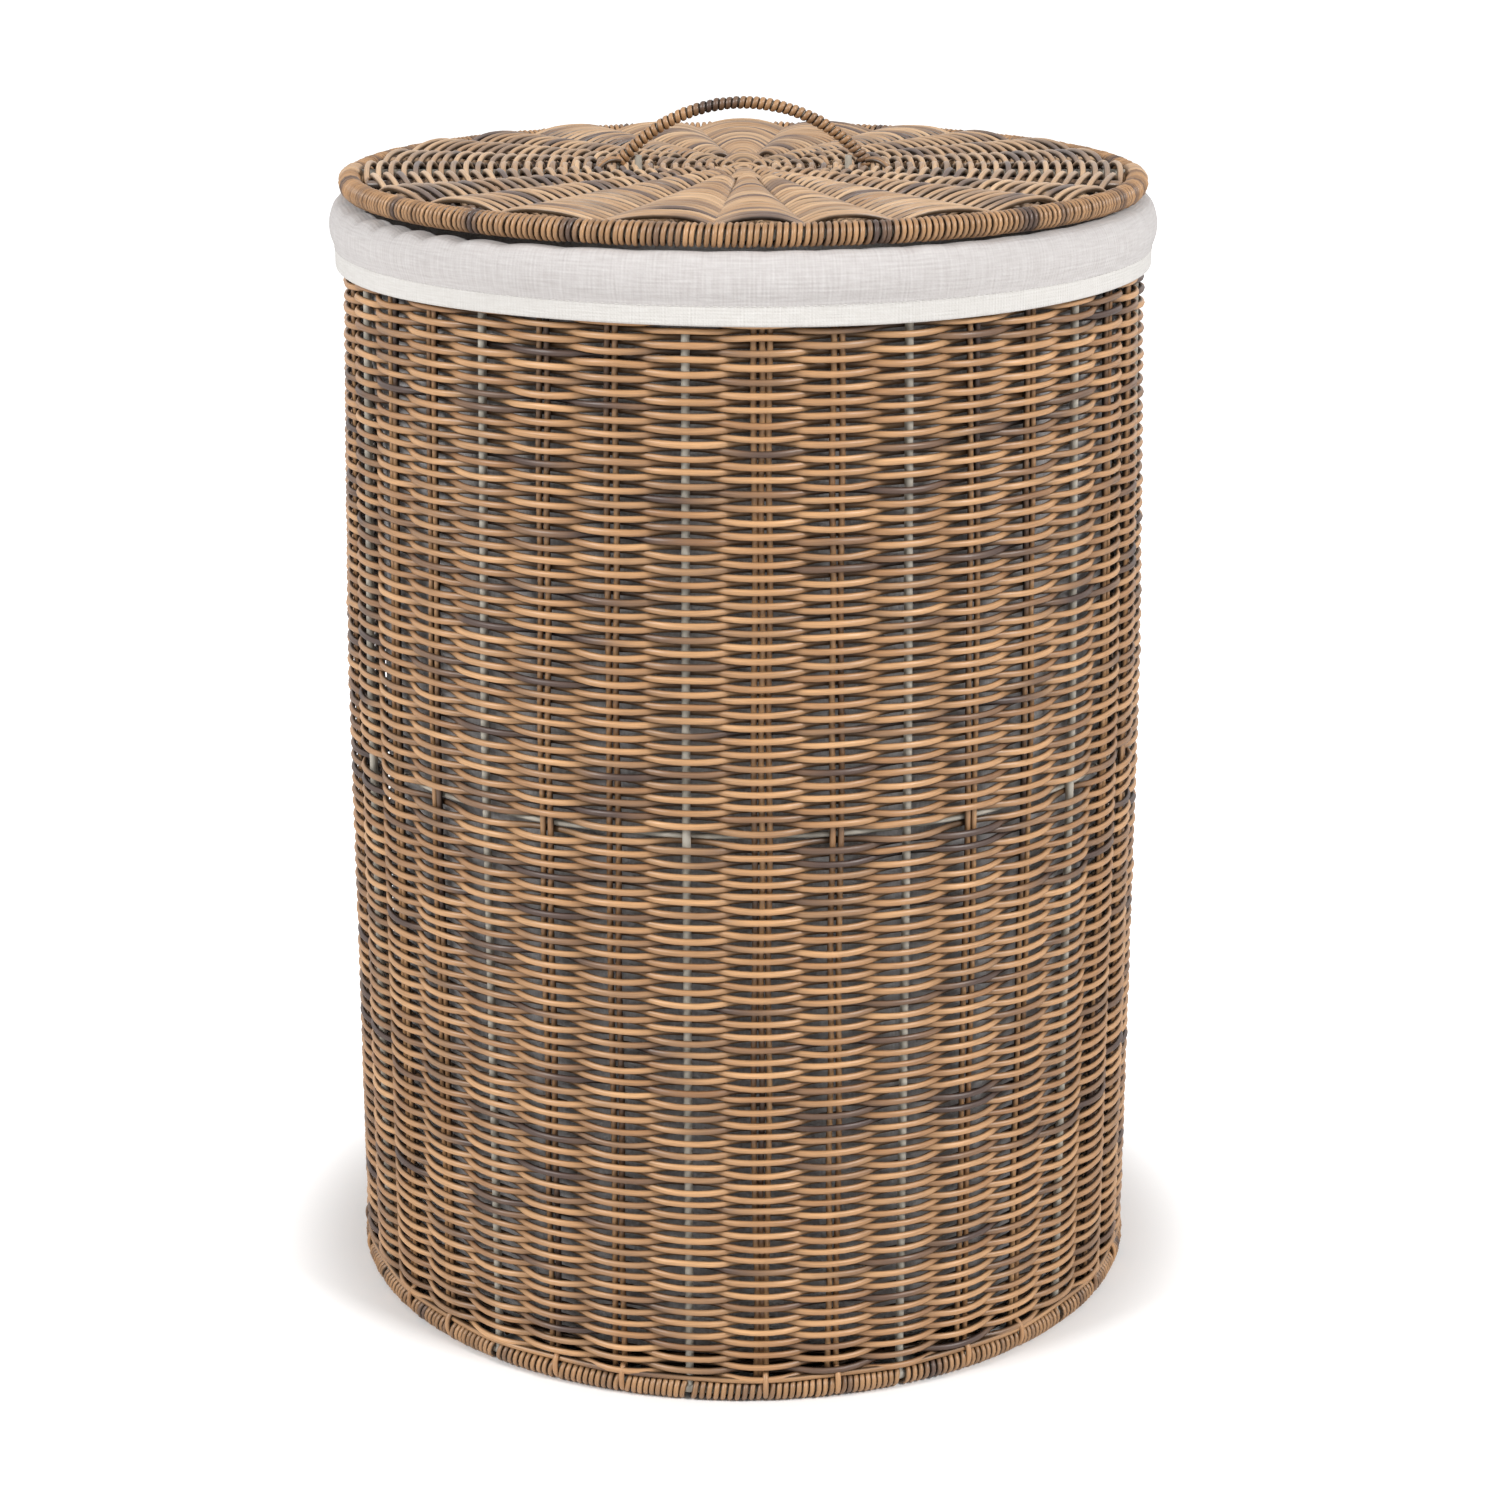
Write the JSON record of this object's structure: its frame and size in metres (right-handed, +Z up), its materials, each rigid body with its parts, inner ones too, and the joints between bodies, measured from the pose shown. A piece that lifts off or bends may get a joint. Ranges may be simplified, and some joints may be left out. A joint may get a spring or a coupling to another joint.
{
  "type": "laundry basket",
  "caption": "Tall round woven laundry basket on a steel rod frame, with a removable cloth liner folded over the rim and a lift-off woven lid with an arched handle.",
  "frame": {"origin": "bottom centre of the basket, on the plane that it stands on", "axes": "+Z up through the lid, -Y the front, X along the lid's crossbar and the plane of the handle"},
  "size_m": [0.4139, 0.414, 0.61],
  "materials": {
    "frame_steel": "khaki grey powder-coated steel rod, matte",
    "wall_cane": "round wicker-look plastic cane, honey brown with dark streaks, satin",
    "wrap_cane": "round wicker-look plastic cane, honey brown with dark streaks, satin, wound turn against turn",
    "lid_cane": "round wicker-look plastic cane, light tan with grey-brown streaks, satin",
    "liner_cloth": "natural undyed linen and cotton cloth, plain weave, matte",
    "hem_binding": "smooth white cotton binding, matte"
  },
  "bodies": {
    "basket": {"frame_top_hoop": "frame_steel", "frame_mid_hoop": "frame_steel", "frame_base_hoop": "frame_steel", "frame_bars": "frame_steel", "base_cross_rods": "frame_steel", "wall_stakes": "wall_cane", "wall_weave": "wall_cane", "rim_wrap": "wrap_cane", "base_border_wrap": "wrap_cane", "base_spokes": "wall_cane", "base_weave": "wall_cane"},
    "liner": {"liner_bag": "liner_cloth", "liner_base": "liner_cloth", "liner_cuff": "liner_cloth", "liner_hem_band": "hem_binding"},
    "lid": {"lid_rim_hoop": "frame_steel", "lid_rim_wrap": "wrap_cane", "lid_rim_lashings": "lid_cane", "lid_crossbar": "frame_steel", "lid_spokes": "lid_cane", "lid_hub": "lid_cane", "lid_weave": "lid_cane", "handle_core": "frame_steel", "handle_wrap": "wrap_cane", "handle_lugs": "frame_steel"}
  },
  "joints": [
    {"name": "liner_lift", "type": "slide", "parent": "basket", "child": "liner", "axis": [0, 0, 1], "range_m": [0, 0.6]},
    {"name": "lid_lift", "type": "slide", "parent": "liner", "child": "lid", "axis": [0, 0, 1], "range_m": [0, 0.25]}
  ]
}
